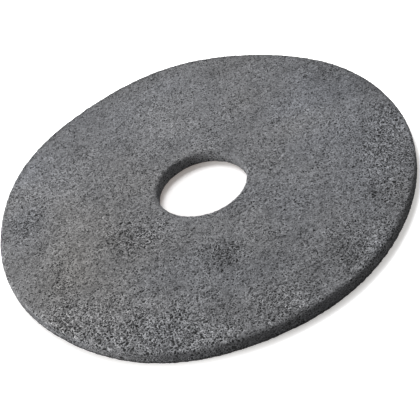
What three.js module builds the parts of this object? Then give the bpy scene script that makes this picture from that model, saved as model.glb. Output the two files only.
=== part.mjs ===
// Round floor scrubbing pad: one thick disc of springy non-woven web with a
// round centre hole for the lock of a floor machine's pad driver.
// Millimetres, +Z up. The origin is the middle of the face that lies on the
// floor, on the axis the pad spins about.
import * as THREE from 'three';

// The disc as it is cut from the web.
const PAD_DIAMETER = 406;
const HOLE_DIAMETER = 89;
const WEB_THICKNESS = 14;

// The cutting die presses the web down before it parts, so the edges on the
// upper face spring back rounder than those on the floor face.
const OUTER_TOP_ROUND = 3.2;
const OUTER_FLOOR_ROUND = 1.6;
const HOLE_TOP_ROUND = 2.4;
const HOLE_FLOOR_ROUND = 1.2;

// How finely the round forms are divided.
const TURN_STEPS = 128;
const ROUND_STEPS = 5;

const outerRadius = PAD_DIAMETER / 2;
const holeRadius = HOLE_DIAMETER / 2;

// One rounded corner of the section, centred at (x, y), as a quarter turn
// that starts at the angle given.
function roundCorner(outline, x, y, round, startAngle) {
  const endAngle = startAngle + Math.PI / 2;
  const corner = new THREE.EllipseCurve(x, y, round, round, startAngle, endAngle);
  for (const point of corner.getPoints(ROUND_STEPS)) {
    outline.push(point);
  }
}

// The section of the web to one side of the axis: x is the distance from the
// axis and y the height above the floor. It runs along the floor face, up the
// outer edge, back over the upper face and down the wall of the hole.
function padSection() {
  const outline = [];
  roundCorner(
    outline,
    outerRadius - OUTER_FLOOR_ROUND,
    OUTER_FLOOR_ROUND,
    OUTER_FLOOR_ROUND,
    -Math.PI / 2,
  );
  roundCorner(
    outline,
    outerRadius - OUTER_TOP_ROUND,
    WEB_THICKNESS - OUTER_TOP_ROUND,
    OUTER_TOP_ROUND,
    0,
  );
  roundCorner(
    outline,
    holeRadius + HOLE_TOP_ROUND,
    WEB_THICKNESS - HOLE_TOP_ROUND,
    HOLE_TOP_ROUND,
    Math.PI / 2,
  );
  roundCorner(
    outline,
    holeRadius + HOLE_FLOOR_ROUND,
    HOLE_FLOOR_ROUND,
    HOLE_FLOOR_ROUND,
    Math.PI,
  );
  outline.push(outline[0].clone());
  return outline;
}

// The section turned once about the upright axis.
function padGeometry() {
  const geometry = new THREE.LatheGeometry(padSection(), TURN_STEPS);
  geometry.rotateX(Math.PI / 2);
  return geometry;
}

const greyWeb = new THREE.MeshStandardMaterial({
  color: 0x6b6c6e,
  roughness: 0.95,
  metalness: 0,
});

const scrubbingPad = new THREE.Mesh(padGeometry(), greyWeb);
scrubbingPad.name = 'scrubbing_pad';

const floorPad = new THREE.Group();
floorPad.name = 'floor_scrubbing_pad';
floorPad.add(scrubbingPad);

export default floorPad;
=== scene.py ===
import math

import bpy
import numpy as np
from mathutils import Matrix, Vector


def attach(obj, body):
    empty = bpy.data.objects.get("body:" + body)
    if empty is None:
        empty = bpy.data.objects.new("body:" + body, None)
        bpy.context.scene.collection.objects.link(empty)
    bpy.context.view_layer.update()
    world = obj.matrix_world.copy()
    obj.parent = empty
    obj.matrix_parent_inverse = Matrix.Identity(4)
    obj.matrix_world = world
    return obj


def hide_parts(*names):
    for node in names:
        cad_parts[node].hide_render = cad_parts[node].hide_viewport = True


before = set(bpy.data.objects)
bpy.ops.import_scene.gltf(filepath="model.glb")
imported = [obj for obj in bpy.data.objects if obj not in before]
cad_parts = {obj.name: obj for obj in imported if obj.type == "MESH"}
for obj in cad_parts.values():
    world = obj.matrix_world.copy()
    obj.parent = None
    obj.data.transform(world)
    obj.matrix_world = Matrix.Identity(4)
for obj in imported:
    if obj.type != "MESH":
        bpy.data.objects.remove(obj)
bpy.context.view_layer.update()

# Lengths below are millimetres, in the pad's own frame, until a mesh is made.
MM = 0.001

# How near a face a point of the solid counts as on it.
ON_FACE = 0.01

# The sizes of the pad, read from the frame.
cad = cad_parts["scrubbing_pad"]
points = np.empty(len(cad.data.vertices) * 3)
cad.data.vertices.foreach_get("co", points)
points = points.reshape(-1, 3) / MM
reach = np.hypot(points[:, 0], points[:, 1])
OUTER = reach.max()
HOLE = reach.min()
THICK = points[:, 2].max()
upper = reach[points[:, 2] > THICK - ON_FACE]
lower = reach[points[:, 2] < ON_FACE]
OUTER_TOP_ROUND = OUTER - upper.max()
OUTER_FLOOR_ROUND = OUTER - lower.max()
HOLE_TOP_ROUND = upper.min() - HOLE
HOLE_FLOOR_ROUND = lower.min() - HOLE

# The cut edge wanders from a true circle in a few slow waves:
# waves in a turn, height in mm, and the angle of a crest's phase in degrees.
EDGE_WAVES = (
    (0, 0.35, 0),
    (1, 0.70, 120),
    (2, 0.30, -120),
    (3, 0.80, 40),
    (4, 0.35, -50),
    (5, 0.60, 70),
    (6, 0.50, 130),
    (7, 0.75, -90),
)

# How far the fibres cut at the hole spring back into it, how much less to one side, which side
# that is in degrees, and the share of the upper face's width over which this fades.
HOLE_SPRING = 0.1
HOLE_PULL = 0.45
HOLE_PULL_WAY = 15
HOLE_PULL_FADE = 0.125

# Mottling of the upper face: x, y, size and amount of each soft spot.
# Where the web is dirtier or denser it is darker, where it is worn, lighter.
LIGHT_SPOTS = (
    (2, -97, 9, -0.42),
    (0, -114, 8, -0.30),
    (-30, -110, 12, -0.10),
    (30, -118, 14, -0.10),
    (-82, -48, 12, -0.32),
    (-153, -76, 9, -0.24),
    (-145, -90, 14, -0.10),
    (-105, -78, 22, -0.08),
    (-172, 26, 9, -0.34),
    (-57, 88, 6, -0.26),
    (-36, 60, 6, -0.14),
    (-42, 26, 9, -0.10),
    (-42, -18, 9, -0.10),
    (98, -152, 12, -0.36),
    (60, -165, 12, -0.10),
    (146, -92, 12, -0.24),
    (184, -58, 12, -0.26),
    (160, -8, 12, -0.16),
    (192, 58, 13, -0.20),
    (160, 98, 9, -0.26),
    (137, 136, 16, -0.16),
    (50, 166, 8, -0.14),
    (-60, 186, 12, -0.14),
    (-95, 170, 15, -0.16),
    (-130, 147, 12, -0.12),
    (-14, -172, 11, -0.26),
    (22, -184, 10, -0.14),
    (-95, -146, 7, -0.16),
    (70, -6, 10, -0.12),
    (70, 60, 10, -0.08),
    (-123, 42, 13, 0.24),
    (-164, 92, 20, 0.20),
    (-112, 76, 14, 0.08),
    (-186, 42, 11, 0.16),
    (-194, -8, 14, 0.16),
    (-10, 92, 16, 0.16),
    (-82, -129, 12, 0.14),
    (112, 32, 30, 0.16),
    (115, -34, 14, 0.14),
    (52, -10, 10, 0.12),
    (14, -72, 10, 0.12),
    (150, 14, 16, 0.08),
    (30, 138, 18, 0.12),
    (-42, 150, 24, 0.08),
    (-118, -4, 20, 0.16),
)
# Where the web is open and its pores show.
OPEN_SPOTS = (
    (-158, -112, 16, 0.60),
    (-120, -142, 23, 0.85),
    (-80, -168, 22, 0.85),
    (-28, -186, 18, 0.65),
    (30, -186, 18, 0.45),
    (184, -8, 16, 0.65),
    (178, -48, 19, 0.70),
    (160, -92, 16, 0.40),
    (116, -152, 20, 0.55),
    (-72, -46, 20, 0.58),
    (0, -104, 13, 0.60),
    (-172, 38, 16, 0.30),
    (-150, 80, 18, 0.20),
    (-105, 88, 16, 0.18),
    (20, 50, 9, 0.25),
    (-153, -76, 9, 0.30),
    (-57, 88, 7, 0.35),
    (-172, 26, 10, 0.40),
    (160, 98, 9, 0.30),
    (70, -6, 10, 0.22),
)
# Where the grey leans warm, and where it leans blue.
WARM_SPOTS = (
    (-128, 0, 46, 0.55),
    (-120, -75, 36, 0.50),
    (-45, 5, 25, 0.25),
    (-150, -108, 30, 0.40),
    (165, 0, 45, -0.45),
    (150, 80, 40, -0.30),
    (130, -130, 40, -0.25),
    (-170, 30, 16, -0.35),
    (-40, 145, 18, -0.30),
    (-165, 120, 22, -0.30),
)


# How many points a round corner of the section has.
ROUND_POINTS = 9


def rounded(centre_r, centre_z, radius, start):
    """A quarter turn of the section: points and outward normals."""
    turn = np.linspace(start, start + math.pi / 2, ROUND_POINTS)
    out = np.stack([np.cos(turn), np.sin(turn)], 1)
    return np.array([centre_r, centre_z]) + radius * out, out


# The section, from the outer floor edge up and round to where it began.
quarters = [
    rounded(OUTER - OUTER_FLOOR_ROUND, OUTER_FLOOR_ROUND, OUTER_FLOOR_ROUND, -math.pi / 2),
    rounded(OUTER - OUTER_TOP_ROUND, THICK - OUTER_TOP_ROUND, OUTER_TOP_ROUND, 0),
    rounded(HOLE + HOLE_TOP_ROUND, THICK - HOLE_TOP_ROUND, HOLE_TOP_ROUND, math.pi / 2),
    rounded(HOLE + HOLE_FLOOR_ROUND, HOLE_FLOOR_ROUND, HOLE_FLOOR_ROUND, math.pi),
]
section = np.concatenate([q[0] for q in quarters] + [quarters[0][0][:1]])
section_out = np.concatenate([q[1] for q in quarters] + [quarters[0][1][:1]])
along = np.concatenate([[0], np.cumsum(np.hypot(*np.diff(section, axis=0).T))])
# How far along the section each stretch begins.
_, TOP_RIM_AT, HOLE_RIM_AT, FLOOR_RIM_AT = along[:-1:ROUND_POINTS]
WALL_AT, TOP_AT, HOLE_WALL_AT, FLOOR_AT = along[ROUND_POINTS - 1::ROUND_POINTS]
ROUND_AT = along[-1]


def edge_wave(angle):
    """How far the cut edge stands outside a true circle at an angle, in mm."""
    wave = np.zeros_like(angle)
    for turns, height, phase in EDGE_WAVES:
        wave += height * np.cos(turns * angle - math.radians(phase))
    return wave


def skin(q, angle):
    """Points and outward normals of the pad's outside, q mm along the section at an angle."""
    q = q % ROUND_AT
    r = np.interp(q, along, section[:, 0])
    z = np.interp(q, along, section[:, 1])
    out_r = np.interp(q, along, section_out[:, 0])
    out_z = np.interp(q, along, section_out[:, 1])
    size = np.hypot(out_r, out_z)
    out = (r - HOLE) / (OUTER - HOLE)
    spring = HOLE_SPRING - HOLE_PULL * np.cos(angle - math.radians(HOLE_PULL_WAY))
    r = r + edge_wave(angle) * out**2 - spring * np.clip(1 - out / HOLE_PULL_FADE, 0, 1)
    c, s = np.cos(angle), np.sin(angle)
    p = np.stack([r * c, r * s, z], -1)
    n = np.stack([out_r * c, out_r * s, out_z], -1) / size[..., None]
    return p, n


# How many lumps a random field has each way before it repeats.
LUMP_GRID = (256, 256, 32)


def lumps(p, across, seed):
    """A smooth random field from -1 to 1 at points p, with lumps that many mm across."""
    grid = np.random.default_rng(seed).uniform(-1, 1, LUMP_GRID)
    u = p / across
    low = np.floor(u).astype(int)
    part = u - low
    part = part * part * (3 - 2 * part)
    total = np.zeros(p.shape[:-1])
    for i in (0, 1):
        for j in (0, 1):
            for k in (0, 1):
                share = np.where(i, part[..., 0], 1 - part[..., 0])
                share = share * np.where(j, part[..., 1], 1 - part[..., 1])
                share = share * np.where(k, part[..., 2], 1 - part[..., 2])
                at = (low + np.array((i, j, k))) % np.array(LUMP_GRID)
                total += share * grid[at[..., 0], at[..., 1], at[..., 2]]
    return total


def spots(p, table):
    """The sum of a table's soft spots at points p."""
    total = np.zeros(p.shape[:-1])
    for x, y, size, amount in table:
        total += amount * np.exp(-((p[..., 0] - x) ** 2 + (p[..., 1] - y) ** 2) / (2 * size**2))
    return total


# The way the web's fibres run, in degrees, and how far that draws its lumps out.
WEB_RUN = 52
WEB_SQUEEZE = 0.4


def drawn_out(p):
    """The points in a frame that squeezes the web's run, so that lumps come out as streaks."""
    c, s = math.cos(math.radians(WEB_RUN)), math.sin(math.radians(WEB_RUN))
    run = p[..., 0] * c + p[..., 1] * s
    cross = p[..., 1] * c - p[..., 0] * s
    return np.stack([run * WEB_SQUEEZE, cross, p[..., 2]], -1)


def smooth(x, low, high):
    """0 below low and 1 above high, with a smooth rise between."""
    x = np.clip((x - low) / (high - low), 0, 1)
    return x * x * (3 - 2 * x)


# Random mottling, as amount and mm across: streaks, patches and clouds of tone, then warmth and opening.
STREAKS = (0.11, 17)
PATCHES = (0.09, 9)
CLOUDS = (0.06, 45)
WARMTH = (0.18, 34)
OPENING = (0.22, 24)
# How open the web is where nothing changes it.
OPEN_SHARE = 0.20
# How much lighter the webs between the pores are where they are open.
OPEN_LIFT = 0.17
# How much darker than the faces the cut edges are, outside and in the hole, where they are lighter:
# outside partly the cut fibre ends' own tone and partly painted shade, in the hole painted light;
# then how much darker still at the floor, painted shade where the walls meet it, and the heights in mm
# at which that begins and is full.
EDGE_TONE_AND_PAINTED_SHADE = 0.29
HOLE_PAINTED_SHADE = -0.12
FOOT_PAINTED_SHADE = 0.9
HOLE_FOOT_PAINTED_SHADE = 0.10
FOOT_FROM = 4.5
FOOT_FULL = 0.5
# The upward part of a normal, at which a place begins to count as upper face and wholly does,
# stops being wholly a cut edge and isn't one at all, and leaves the floor face and is clear of it.
UPPER_FACE = (0.2, 0.8)
CUT_EDGE = (0.1, 0.7)
FLOOR_FACE = (-0.9, -0.3)
# How much darker the upper face grows towards its far rim, and over how many mm.
RIM_SHADE = 0.15
RIM_WIDTH = 10


def web(p, n):
    """How light, warm and open the web is at points with those normals. Its lightness carries painted
    shade on the cut edges and at their foot, and painted light on the hole's wall.
    """
    top = smooth(n[..., 2], *UPPER_FACE)
    cut = 1 - smooth(np.abs(n[..., 2]), *CUT_EDGE)
    light = 1 + STREAKS[0] * lumps(drawn_out(p), STREAKS[1], 11)
    light = light + PATCHES[0] * lumps(p, PATCHES[1], 12)
    light = light + CLOUDS[0] * lumps(p, CLOUDS[1], 13)
    light = light + top * spots(p, LIGHT_SPOTS)
    r = np.hypot(p[..., 0], p[..., 1])
    outside = r > (OUTER + HOLE) / 2
    # The cut edges' darker tone is partly their own and partly painted shade; in the hole it is painted
    # light.
    light = light * (1 - np.where(outside, EDGE_TONE_AND_PAINTED_SHADE, HOLE_PAINTED_SHADE) * cut)
    # Painted shade at the foot of the cut edges, where they meet the floor.
    foot = cut * smooth(-p[..., 2], -FOOT_FROM, -FOOT_FULL)
    light = light * (1 - np.where(outside, FOOT_PAINTED_SHADE, HOLE_FOOT_PAINTED_SHADE) * foot)
    far = top * smooth(p[..., 1], 0, 0.5 * OUTER)
    light = light * (1 - RIM_SHADE * far * smooth(r, OUTER - RIM_WIDTH, OUTER))
    warm = 0.5 + WARMTH[0] * lumps(p, WARMTH[1], 14) + 0.5 * top * spots(p, WARM_SPOTS)
    opened = OPEN_SHARE + OPENING[0] * lumps(p, OPENING[1], 15)
    opened = opened + smooth(n[..., 2], *FLOOR_FACE) * spots(p, OPEN_SPOTS)
    opened = smooth(opened, 0, 1)
    return light * (1 + OPEN_LIFT * opened), np.clip(warm, 0, 1), opened


# How far the body sinks under its fibres, in mm: at the cut edges, how much more on the faces,
# and how far it may stand proud.
EDGE_SINK = 0.02
FACE_SINK = 0.30
MOST_PROUD = 0.05
# The upright part of a normal, at which a place begins to count as one of the faces and wholly does.
FACES = (0.3, 0.9)
# Its swells, in mm: across, height at the cut edges, how much more on the faces, and a seed.
SWELLS = (
    (38, 0, 0.20, 1),
    (10, 0.04, 0.11, 2),
    (3.6, 0.04, 0.10, 3),
)


def hollow(p, n):
    """How far the web's body lies under its skin of fibres, in mm."""
    flat = smooth(np.abs(n[..., 2]), *FACES)
    depth = EDGE_SINK + FACE_SINK * flat
    for across, at_edge, on_face, seed in SWELLS:
        depth = depth + (at_edge + on_face * flat) * lumps(p, across, seed)
    return np.maximum(depth, -MOST_PROUD)


def add_mesh(name, verts, faces, values, places):
    """A piece with its web values at each point, and its places on a flat map at each corner of a face."""
    mesh = bpy.data.meshes.new(name)
    mesh.from_pydata((verts * MM).tolist(), [], faces.tolist())
    mesh.polygons.foreach_set("use_smooth", np.ones(len(faces), bool))
    colours = mesh.attributes.new("web", "FLOAT_COLOR", "POINT")
    colours.data.foreach_set("color", values.astype(np.float32).ravel())
    flat_map = mesh.uv_layers.new(name="OFBake")
    flat_map.uv.foreach_set("vector", places.astype(np.float32).ravel())
    mesh.update()
    piece = bpy.data.objects.new(name, mesh)
    bpy.context.scene.collection.objects.link(piece)
    return piece


def zipped(first, a, second, b):
    """Triangles between two rings of a and b points whose numbers start at first and second."""
    i = j = 0
    faces = []
    while i < a or j < b:
        if j >= b or (i < a and (i + 1) * b <= (j + 1) * a):
            faces.append((first + i % a, first + (i + 1) % a, second + j % b))
            i += 1
        else:
            faces.append((first + i % a, second + (j + 1) % b, second + j % b))
            j += 1
    return faces


# The flat map of the body: two discs, by middle and radius, and strips for the cut edges.
TOP_DISC = (0.36, 0.36, 0.355)
FLOOR_DISC = (0.865, 0.865, 0.130)
EDGE_STRIPS = 3
STRIP_START = (0.005, 0.735)
STRIP_PITCH = 0.04
STRIP_LENGTH = 0.71
# How steeply a face has to look up or down to lie on a disc.
ON_DISC = 0.7


def body_places(p, n, q, angle, faces):
    """Where each corner of the body's faces lies on its flat map."""
    facing = n[faces].mean(1)[:, 2]
    places = np.empty(faces.shape + (2,))
    for disc, chosen in ((TOP_DISC, facing > ON_DISC), (FLOOR_DISC, facing < -ON_DISC)):
        spread = p[faces[chosen]][..., :2] / p[:, 0].max()
        places[chosen] = np.array(disc[:2]) + disc[2] * spread
    cut = np.abs(facing) <= ON_DISC
    turn = angle[faces[cut]]
    turn = turn[:, :1] + (turn - turn[:, :1] + math.pi) % (2 * math.pi) - math.pi
    middle = turn.mean(1, keepdims=True)
    turn = turn - middle + middle % (2 * math.pi)
    strip_turn = 2 * math.pi / EDGE_STRIPS
    in_hole = q[faces[cut]].mean(1, keepdims=True) > TOP_AT
    strip = np.where(in_hole, EDGE_STRIPS, np.floor(middle % (2 * math.pi) / strip_turn))
    scale = STRIP_LENGTH / (strip_turn * OUTER)
    across = np.where(in_hole, turn * HOLE, (turn - strip * strip_turn) * OUTER) * scale
    upward = (q[faces[cut]] - np.where(in_hole, HOLE_RIM_AT, 0)) * scale
    places[cut, :, 0] = STRIP_START[0] + across
    places[cut, :, 1] = STRIP_START[1] + STRIP_PITCH * strip + upward
    return places


# The rings of the body: where along the section they start and end, how many there are,
# and how far apart the points of each lie, in mm.
STRETCHES = (
    (0, WALL_AT, 2, 1.7),
    (WALL_AT, TOP_RIM_AT, 6, 1.6),
    (TOP_RIM_AT, TOP_AT, 4, 1.4),
    (TOP_AT, HOLE_RIM_AT, 130, 1.36),
    (HOLE_RIM_AT, HOLE_WALL_AT, 3, 1.4),
    (HOLE_WALL_AT, FLOOR_RIM_AT, 6, 1.6),
    (FLOOR_RIM_AT, FLOOR_AT, 2, 1.8),
    (FLOOR_AT, ROUND_AT, 50, 3.6),
)
# Sunk points: their share where the web is closed and what opening adds, their depth in mm,
# the least part of that depth, and the upright part of a normal at which they begin and are full.
SUNK_SHARE = 0.06
SUNK_OPEN_SHARE = 0.30
SUNK_DEPTH = 0.8
SUNK_LEAST = 0.35
SUNK_FACES = (0.9, 1.0)
# How far the tone of single points strays, where the web is closed and what opening adds.
SPECKLE = 0.05
OPEN_SPECKLE = 0.10
# The range that tones are kept to.
TONES = (0.1, 3)
# How far the pieces keep off the floor, in mm.
FLOOR_GAP = 0.02


def web_body():
    """The body of the web: rings of points all the way round the section, zipped together."""
    q, gap = [], []
    for start, end, count, spacing in STRETCHES:
        q += list(np.linspace(start, end, count, endpoint=False))
        gap += [spacing] * count
    r = np.interp(q, along, section[:, 0])
    sizes = [round(2 * math.pi * x / g) for x, g in zip(r, gap)]
    starts = np.concatenate([[0], np.cumsum(sizes)])
    angles = [(np.arange(m) + 0.5 * (k % 2)) * 2 * math.pi / m for k, m in enumerate(sizes)]
    q, angle = np.repeat(q, sizes), np.concatenate(angles)
    p, n = skin(q, angle)
    depth = hollow(p, n)
    faces = []
    for k, m in enumerate(sizes):
        other = (k + 1) % len(sizes)
        faces += zipped(starts[k], m, starts[other], sizes[other])
    light, warm, opened = web(p, n)
    # Pores between the fibres: single points that sink, more of them where the web is open.
    rng = np.random.default_rng(7)
    sunk = rng.random(len(p)) < SUNK_SHARE + SUNK_OPEN_SHARE * opened
    pore = np.where(sunk, rng.uniform(SUNK_LEAST, 1.0, len(p)), 0)
    pore = pore * smooth(np.abs(n[:, 2]), *SUNK_FACES)
    light = light * (1 + (SPECKLE + OPEN_SPECKLE * opened) * rng.normal(0, 1, len(p)))
    depth = depth + SUNK_DEPTH * pore
    # The last value, each pit's depth, also paints shade into the pit in the material.
    values = np.stack([np.clip(light, *TONES), warm, opened, pore], 1)
    verts = p - n * depth[:, None]
    verts[:, 2] = np.maximum(verts[:, 2], FLOOR_GAP)
    faces = np.array(faces)
    return add_mesh("web_body", verts, faces, values, body_places(p, n, q, angle, faces))


# How many sides a fibre has.
SIDES = 3
# How fibres wander, in radians: about the way round the pad, in a bend for each mm, and at each step.
ROUND_SPREAD = 0.3
BEND = 0.08
WANDER = 0.28
# How fibres vary: length and thickness against the usual, and height against the body's depth
# with this many mm added.
LENGTHS = (0.6, 1.4)
THICKNESSES = (0.7, 1.25)
HEIGHTS = (0.3, 1.2)
HEIGHT_ADDED = 0.1
# In how many steps the section is measured, to strew fibres evenly.
STREW_STEPS = 400
# How deep the ends of a fibre dip, against the height of its middle.
END_DIP = 1.7
# How far the tone of fibres strays, where the web is closed and what opening adds, and the most
# times that far that one may be lighter.
FIBRE_TONE = 0.16
OPEN_FIBRE_TONE = 0.30
LIGHTEST = 0.9
# The part of its square on the flat map that a fibre leaves free on each side, and that an end takes.
SQUARE_MARGIN = 0.08
END_SHARE = 0.2


def strand_places(count, rings):
    """The flat map of strands: a square for each, with its sides unrolled in it."""
    corners = []
    for k in range(rings - 1):
        low, high = k / (rings - 1), (k + 1) / (rings - 1)
        for m in range(SIDES):
            left, right = m / SIDES, (m + 1) / SIDES
            corners.append([(left, low), (right, low), (right, high)])
            corners.append([(left, low), (right, high), (left, high)])
    corners.append([(0, 0), (END_SHARE, 0), (0, END_SHARE)])
    corners.append([(1, 1), (1 - END_SHARE, 1), (1, 1 - END_SHARE)])
    across = math.ceil(math.sqrt(count))
    number = np.arange(count)
    square = np.stack([number % across, number // across], 1)[:, None, None]
    return (square + SQUARE_MARGIN + (1 - 2 * SQUARE_MARGIN) * np.array(corners)) / across


def strands(name, count, seed, start, end, length, thick, flow, rings):
    """Crimped fibres laid on the web between two places along its section. Their ends dip into
    the body. flow is how far they keep to the way round the pad: 0 not at all, 1 wholly."""
    rng = np.random.default_rng(seed)
    table = np.linspace(start, end, STREW_STEPS)
    share = np.cumsum(np.interp(table % ROUND_AT, along, section[:, 0]))
    q = np.interp(rng.random(count) * share[-1], share, table)
    angle = rng.uniform(0, 2 * math.pi, count)
    aim = rng.uniform(0, 2 * math.pi, count)
    round_way = rng.choice([-0.5, 0.5], count) * math.pi + rng.normal(0, ROUND_SPREAD, count)
    aim = np.where(rng.random(count) < flow, round_way, aim)
    run = length * rng.uniform(*LENGTHS, count) / (rings - 1)
    bend = rng.normal(0, BEND, count)
    path_q, path_angle = [], []
    for k in range(rings):
        path_q.append(q)
        path_angle.append(angle)
        r = np.interp(q % ROUND_AT, along, section[:, 0])
        q = q + run * np.cos(aim)
        angle = angle + run * np.sin(aim) / r
        aim = aim + bend * run + rng.normal(0, WANDER, count)
    path_q, path_angle = np.stack(path_q, 1), np.stack(path_angle, 1)
    p, n = skin(path_q, path_angle)
    depth = hollow(p, n)
    arch = 1 - END_DIP * np.linspace(-1, 1, rings) ** 4
    rise = rng.uniform(*HEIGHTS, count)[:, None] * (depth + HEIGHT_ADDED) * arch
    rad = thick * rng.uniform(*THICKNESSES, count)[:, None] * np.ones(rings)
    mid = p + n * (rise - depth)[..., None]
    mid[..., 2] = np.maximum(mid[..., 2], rad + FLOOR_GAP)
    way = np.gradient(mid, axis=1)
    way /= np.linalg.norm(way, axis=2, keepdims=True)
    side = np.cross(n, way)
    side /= np.linalg.norm(side, axis=2, keepdims=True)
    up = np.cross(way, side)
    verts = []
    for k in range(SIDES):
        turn = math.pi / 2 + 2 * math.pi * k / SIDES
        verts.append(mid + rad[..., None] * (math.cos(turn) * side + math.sin(turn) * up))
    verts = np.stack(verts, 2)
    faces = []
    for k in range(rings - 1):
        for m in range(SIDES):
            a, b = k * SIDES + m, k * SIDES + (m + 1) % SIDES
            faces += [(a, b, b + SIDES), (a, b + SIDES, a + SIDES)]
    last = (rings - 1) * SIDES
    faces += [(2, 1, 0), (last, last + 1, last + 2)]
    faces = np.array(faces)[None] + (np.arange(count) * rings * SIDES)[:, None, None]
    light, warm, opened = web(p, n)
    tone = np.minimum(rng.normal(0, 1, count), LIGHTEST)[:, None]
    light = light * (1 + (FIBRE_TONE + OPEN_FIBRE_TONE * opened) * tone)
    values = np.stack([np.clip(light, *TONES), warm, opened, 0 * light], 2)
    values = np.repeat(values, SIDES, axis=1).reshape(-1, 4)
    places = strand_places(count, rings)
    return add_mesh(name, verts.reshape(-1, 3), faces.reshape(-1, 3), values, places)


def node(tree, kind, values=(), **settings):
    """A new node, with its inputs linked or set and its settings made."""
    made = tree.nodes.new(kind)
    for key, value in settings.items():
        setattr(made, key, value)
    for key, value in dict(values).items():
        if isinstance(value, bpy.types.NodeSocket):
            tree.links.new(value, made.inputs[key])
        else:
            made.inputs[key].default_value = value
    return made


def maths(tree, operation, a, b=0.0, c=0.0):
    """The result of a sum on up to three values."""
    return node(tree, "ShaderNodeMath", {0: a, 1: b, 2: c}, operation=operation).outputs[0]


def blend(tree, share, first, second):
    """A colour between two others."""
    values = {0: share, 6: first, 7: second}
    return node(tree, "ShaderNodeMix", values, data_type="RGBA").outputs[2]


def cells(tree, where, across, feature):
    """Cells about that many mm across: the node, for the outputs that its feature has."""
    values = {"Vector": where, "Scale": 1 / (across * MM)}
    return node(tree, "ShaderNodeTexVoronoi", values, feature=feature)


def ramp(tree, value, low, high):
    """0 below low and 1 above high, with a smooth rise between."""
    values = {"Value": value, "From Min": low, "From Max": high}
    return node(tree, "ShaderNodeMapRange", values, interpolation_type="SMOOTHSTEP").outputs[0]


def noise(tree, where, across, distortion):
    """A noise of lumps about that many mm across: the node."""
    values = {"Vector": where, "Scale": 1 / (across * MM), "Detail": 1.0, "Distortion": distortion}
    return node(tree, "ShaderNodeTexNoise", values)


# The cells of the web, in mm: grit, the pores between fibres, and gaps where the web is open.
GRIT = 0.95
PORE = 2.3
GAP = 3.8
# How light the rims of pores and gaps are, and where a cell's rim ends and its middle begins.
PORE_RIM = 0.3
GAP_RIM = 0.2
RIM_ENDS = 0.08
MIDDLE_BEGINS = 0.28
# How far, in mm, the cells are stirred out of their places, and the size of the swirls that do it.
STIR = 2.4
SWIRL = 2.4
# How far they swing the web's tone, where it is calm and what opening adds.
GRIT_SWING = 0.5
CALM_SWING = 0.68
OPEN_SWING = 1.9
GAP_SWING = 2.1
# How strong the faintest pores are, and how much stronger the strongest.
PORE_FAINT = 0.4
PORE_STRONG = 1.8
# The share of cells that are gaps: what opening adds, what is taken off, and how softly gaps begin.
GAP_SHARE = 0.5
GAP_LESS = 0.12
GAP_SOFT = 0.06
# The darkest that the grain gets.
GRAIN_LEAST = 0.1


def pores(tree, where, across, rim):
    """A cell's dark middle and light rim, and the cell's chance."""
    colour = cells(tree, where, across, "F1").outputs["Color"]
    chance = node(tree, "ShaderNodeSeparateColor", {"Color": colour}).outputs[0]
    edge = cells(tree, where, across, "DISTANCE_TO_EDGE").outputs["Distance"]
    return maths(tree, "SUBTRACT", rim, ramp(tree, edge, RIM_ENDS, MIDDLE_BEGINS)), chance


def web_grain(tree, where, opened):
    """The tone of the web, about 1: grit, dark pores and the light webs between them."""
    stir = noise(tree, where, SWIRL, 0.0).outputs["Color"]
    stir = node(tree, "ShaderNodeVectorMath", {0: stir, 1: (0.5, 0.5, 0.5)}, operation="SUBTRACT")
    stir = node(tree, "ShaderNodeVectorMath", {0: stir.outputs[0], "Scale": STIR * MM}, operation="SCALE")
    stirred = node(tree, "ShaderNodeVectorMath", {0: where, 1: stir.outputs[0]}, operation="ADD")
    stirred = stirred.outputs[0]
    colour = cells(tree, where, GRIT, "F1").outputs["Color"]
    grit = node(tree, "ShaderNodeSeparateColor", {"Color": colour}).outputs[0]
    grain = maths(tree, "MULTIPLY_ADD", maths(tree, "SUBTRACT", grit, 0.5), GRIT_SWING, 1.0)
    swing = maths(tree, "MULTIPLY_ADD", opened, OPEN_SWING, CALM_SWING)
    pore, chance = pores(tree, stirred, PORE, PORE_RIM)
    depth = maths(tree, "MULTIPLY_ADD", maths(tree, "MULTIPLY", chance, chance), PORE_STRONG, PORE_FAINT)
    grain = maths(tree, "MULTIPLY_ADD", maths(tree, "MULTIPLY", pore, depth), swing, grain)
    gap, chance = pores(tree, stirred, GAP, GAP_RIM)
    share = maths(tree, "MULTIPLY_ADD", opened, GAP_SHARE, -GAP_LESS)
    present = ramp(tree, maths(tree, "SUBTRACT", share, chance), 0.0, GAP_SOFT)
    grain = maths(tree, "MULTIPLY_ADD", maths(tree, "MULTIPLY", gap, present), GAP_SWING, grain)
    return maths(tree, "MAXIMUM", grain, GRAIN_LEAST)


# Tints of the web where it leans blue and warm, and the greys of its body and fibres.
COOL_GREY = (0.955, 1.0, 1.105, 1)
WARM_GREY = (1.022, 1.0, 0.978, 1)
BODY_GREY = 0.180
FIBRE_GREY = 0.196
# Threads bonded into the body: mm across, how swirled, how sharp, how high against the grain,
# how much lighter than what is between them, and how light that is.
THREAD = 2.6
THREAD_SWIRL = 1.6
THREAD_SHARP = 7.0
THREAD_HEIGHT = 0.7
THREAD_LIGHT = 0.35
BETWEEN_THREADS = 0.75
# How much darker the deepest sunk points are painted: painted shade in the pits.
SUNK_PAINTED_SHADE = 0.8
# How far the relief of the grain stands out, in mm, and the part of it that shows.
RELIEF = 0.5
RELIEF_SHARE = 0.6
# How rough the web is, what light grain adds to that, and how much it shines.
ROUGH = 0.8
GRAIN_ROUGH = 0.12
SHINE = 0.25


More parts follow.
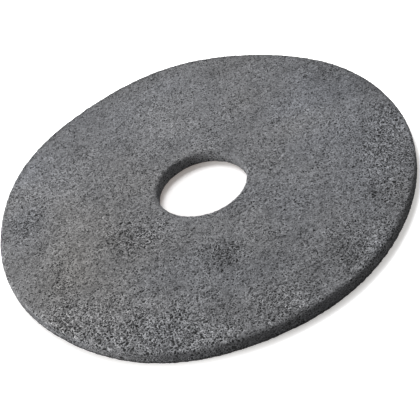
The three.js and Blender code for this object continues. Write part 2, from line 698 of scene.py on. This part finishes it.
def web_material(name, grey, is_body):
    """The look of the web's body or of its fibres."""
    material = bpy.data.materials.new(name)
    material.use_nodes = True
    tree = material.node_tree
    tree.nodes.clear()
    where = node(tree, "ShaderNodeTexCoord").outputs["Object"]
    state = node(tree, "ShaderNodeAttribute", attribute_name="web", attribute_type="GEOMETRY")
    parts = node(tree, "ShaderNodeSeparateColor", {"Color": state.outputs["Color"]})
    light, warm, opened = parts.outputs
    pore = state.outputs["Alpha"]
    grain = web_grain(tree, where, opened)
    if is_body:
        # Threads bonded into the body: the crests of a swirled noise.
        swirl = noise(tree, where, THREAD, THREAD_SWIRL).outputs["Fac"]
        crest = maths(tree, "ABSOLUTE", maths(tree, "SUBTRACT", swirl, 0.5))
        thread = maths(tree, "SUBTRACT", 1.0, maths(tree, "MULTIPLY", crest, THREAD_SHARP))
        thread = maths(tree, "MAXIMUM", thread, 0.0)
        # Painted shade in the sunk pits, darkest at the deepest.
        shade = maths(tree, "MULTIPLY_ADD", pore, -SUNK_PAINTED_SHADE, 1.0)
        tone = maths(tree, "MULTIPLY_ADD", thread, THREAD_LIGHT, BETWEEN_THREADS)
        tone = maths(tree, "MULTIPLY", maths(tree, "MULTIPLY", tone, shade), grain)
        height = maths(tree, "MULTIPLY_ADD", thread, THREAD_HEIGHT, grain)
    else:
        tone = grain
        height = grain
    tone = maths(tree, "MULTIPLY", maths(tree, "MULTIPLY", tone, light), grey)
    tint = blend(tree, warm, COOL_GREY, WARM_GREY)
    colour = node(tree, "ShaderNodeVectorMath", {0: tint, "Scale": tone}, operation="SCALE")
    relief = {"Height": height, "Strength": RELIEF_SHARE, "Distance": RELIEF * MM}
    bump = node(tree, "ShaderNodeBump", relief)
    rough = maths(tree, "MULTIPLY_ADD", grain, GRAIN_ROUGH, ROUGH)
    surface = node(
        tree,
        "ShaderNodeBsdfPrincipled",
        {
            "Base Color": colour.outputs[0],
            "Roughness": rough,
            "Normal": bump.outputs[0],
            "Specular IOR Level": SHINE,
        },
    )
    node(tree, "ShaderNodeOutputMaterial", {"Surface": surface.outputs[0]})
    return material


body_look = web_material("bonded_web", BODY_GREY, True)
fibre_look = web_material("crimped_fibre", FIBRE_GREY, False)

body = web_body()
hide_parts("scrubbing_pad")
body.data.materials.append(body_look)

# Each: name, count, seed, start and end along the section, length, thickness, flow and rings.
tufts = [
    strands("upper_fibres_a", 9000, 21, TOP_AT, HOLE_RIM_AT, 3.4, 0.17, 0.0, 3),
    strands("upper_fibres_b", 4500, 22, TOP_AT, HOLE_RIM_AT, 6.0, 0.16, 0.0, 5),
    strands("floor_fibres", 7000, 23, FLOOR_AT, ROUND_AT, 6.0, 0.19, 0.0, 4),
    strands("edge_fibres", 5000, 24, WALL_AT - 2, TOP_AT + 1, 5.0, 0.15, 0.75, 4),
    strands("hole_fibres", 1200, 25, HOLE_RIM_AT - 1, FLOOR_AT - 1, 4.5, 0.15, 0.7, 4),
]
for tuft in tufts:
    tuft.data.materials.append(fibre_look)
for piece in [body] + tufts:
    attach(piece, "root")

scene = bpy.context.scene
scene.view_settings.view_transform = "Standard"


def backdrop_share(tree):
    """1 for what the camera sees straight, in gloss or through glass, and 0 for bounced light."""
    path = node(tree, "ShaderNodeLightPath")
    seen = maths(tree, "MAXIMUM", path.outputs["Is Camera Ray"], path.outputs["Is Glossy Ray"])
    return maths(tree, "MAXIMUM", seen, path.outputs["Is Transmission Ray"])


# A white floor that keeps the pad's shadow: half its width in metres, then its paint and its
# glow to the camera on the open floor, beside the pad, far from it, and in the hole. Beside the pad
# the glow is painted light, and in the hole the paint and glow are painted shade.
SIDE = 8.0
OPEN_WHITE = (0.95, 0.95, 0.95, 1)
OPEN_GLOW = (0.42, 0.41, 0.40, 1)
BESIDE_SHADOW_CUT_GLOW = (0.9, 0.9, 0.9, 1)
FAR_GLOW = (1, 1, 1, 1)
IN_HOLE_SHADOW_WHITE = (0.90, 0.91, 0.92, 1)
IN_HOLE_SHADOW_GLOW = (0.19, 0.165, 0.15, 1)
# What the floor sends back as light.
BOUNCE = (0.38, 0.38, 0.38, 1)
# Where these change, in mm from the pad's axis: from the hole to the open floor, both under the pad,
# from the pad's edge to beside it, and on to the far floor.
TO_OPEN = (1.5 * HOLE, 0.8 * OUTER)
TO_BESIDE = (OUTER, OUTER + 10)
TO_FAR = (1.5 * OUTER, 4 * OUTER)
floor_mesh = bpy.data.meshes.new("floor")
floor_mesh.from_pydata(
    [(-SIDE, -SIDE, 0), (SIDE, -SIDE, 0), (SIDE, SIDE, 0), (-SIDE, SIDE, 0)],
    [],
    [(0, 1, 2, 3)],
)
floor = bpy.data.objects.new("floor", floor_mesh)
scene.collection.objects.link(floor)
floor_look = bpy.data.materials.new("white_floor")
floor_look.use_nodes = True
tree = floor_look.node_tree
tree.nodes.clear()
bounce = node(tree, "ShaderNodeBsdfDiffuse", {"Color": BOUNCE})
# The shadow is soft on the open floor. In the hole, lower paint and glow with a warm cast are painted
# shade that deepens it; beside the pad, a higher glow is painted light that cuts it short.
distance = node(tree, "ShaderNodeTexCoord").outputs["Object"]
distance = node(tree, "ShaderNodeVectorMath", {0: distance}, operation="LENGTH").outputs["Value"]
# Painted shade in the hole: paint and glow are lower there, with a warm cast.
around = ramp(tree, distance, TO_OPEN[0] * MM, TO_OPEN[1] * MM)
paint = blend(tree, around, IN_HOLE_SHADOW_WHITE, OPEN_WHITE)
glow = blend(tree, around, IN_HOLE_SHADOW_GLOW, OPEN_GLOW)
# Painted light beside the pad: the glow rises there and cuts the pad's shadow short.
beside = ramp(tree, distance, TO_BESIDE[0] * MM, TO_BESIDE[1] * MM)
glow = blend(tree, beside, glow, BESIDE_SHADOW_CUT_GLOW)
far = ramp(tree, distance, TO_FAR[0] * MM, TO_FAR[1] * MM)
glow = blend(tree, far, glow, FAR_GLOW)
white = node(tree, "ShaderNodeBsdfDiffuse", {"Color": paint})
glow = node(tree, "ShaderNodeEmission", {"Color": glow, "Strength": 1.0})
shown = node(tree, "ShaderNodeAddShader", {0: white.outputs[0], 1: glow.outputs[0]})
mixed = node(
    tree,
    "ShaderNodeMixShader",
    {0: backdrop_share(tree), 1: bounce.outputs[0], 2: shown.outputs[0]},
)
node(tree, "ShaderNodeOutputMaterial", {"Surface": mixed.outputs[0]})
floor_mesh.materials.append(floor_look)

# Even light from all round, at this level, on a white backdrop.
AMBIENT = 0.20
world = bpy.data.worlds.new("studio")
scene.world = world
world.use_nodes = True
tree = world.node_tree
tree.nodes.clear()
dim = node(tree, "ShaderNodeBackground", {"Color": (1, 1, 1, 1), "Strength": AMBIENT})
bright = node(tree, "ShaderNodeBackground", {"Color": (1, 1, 1, 1), "Strength": 1.0})
mixed = node(
    tree,
    "ShaderNodeMixShader",
    {0: backdrop_share(tree), 1: dim.outputs[0], 2: bright.outputs[0]},
)
node(tree, "ShaderNodeOutputWorld", {"Surface": mixed.outputs[0]})


def soft_light(name, azimuth, elevation, distance, width, height, level):
    """A flat lamp aimed at the pad. level is how bright it alone makes a white card on the floor."""
    lamp = bpy.data.lights.new(name, "AREA")
    lamp.shape = "RECTANGLE"
    lamp.size = width
    lamp.size_y = height
    rise = math.radians(elevation)
    turn = math.radians(azimuth)
    way = Vector((math.cos(turn) * math.cos(rise), math.sin(turn) * math.cos(rise), math.sin(rise)))
    lamp.energy = level * 4 * math.pi * distance**2 / math.sin(rise)
    light = bpy.data.objects.new(name, lamp)
    light.location = way * distance
    light.rotation_euler = way.to_track_quat("Z", "Y").to_euler()
    scene.collection.objects.link(light)


# Each: name, degrees round and up, metres away, wide and high, and its level.
soft_light("key", 100, 54, 3.2, 1.4, 1.4, 0.64)
soft_light("side", 188, 13, 1.15, 0.5, 0.4, 0.19)

# The camera at the photograph's viewing angle: metres from the pad's middle, degrees, and mm of lens.
CAMERA_AWAY = 1.0172
CAMERA_RISE = 40.68
CAMERA_TILT = -0.968
CAMERA_ROLL = -18.99
CAMERA_LENS = 90.48
rise = math.radians(CAMERA_RISE)
eye = Vector((0, -math.cos(rise), math.sin(rise))) * CAMERA_AWAY
look = Vector((0, math.cos(rise), -math.sin(rise)))
lift = Vector((0, math.sin(rise), math.cos(rise)))
look = (look + lift * math.tan(math.radians(CAMERA_TILT))).normalized()
right = Vector((1, 0, 0))
lift = right.cross(look)
roll = math.radians(CAMERA_ROLL)
axis_x = right * math.cos(roll) + lift * math.sin(roll)
axis_y = lift * math.cos(roll) - right * math.sin(roll)
camera_data = bpy.data.cameras.new("camera")
camera_data.lens = CAMERA_LENS
camera_data.sensor_width = 36
camera = bpy.data.objects.new("camera", camera_data)
place = Matrix((axis_x, axis_y, -look)).transposed().to_4x4()
place.translation = eye
camera.matrix_world = place
scene.collection.objects.link(camera)
scene.camera = camera
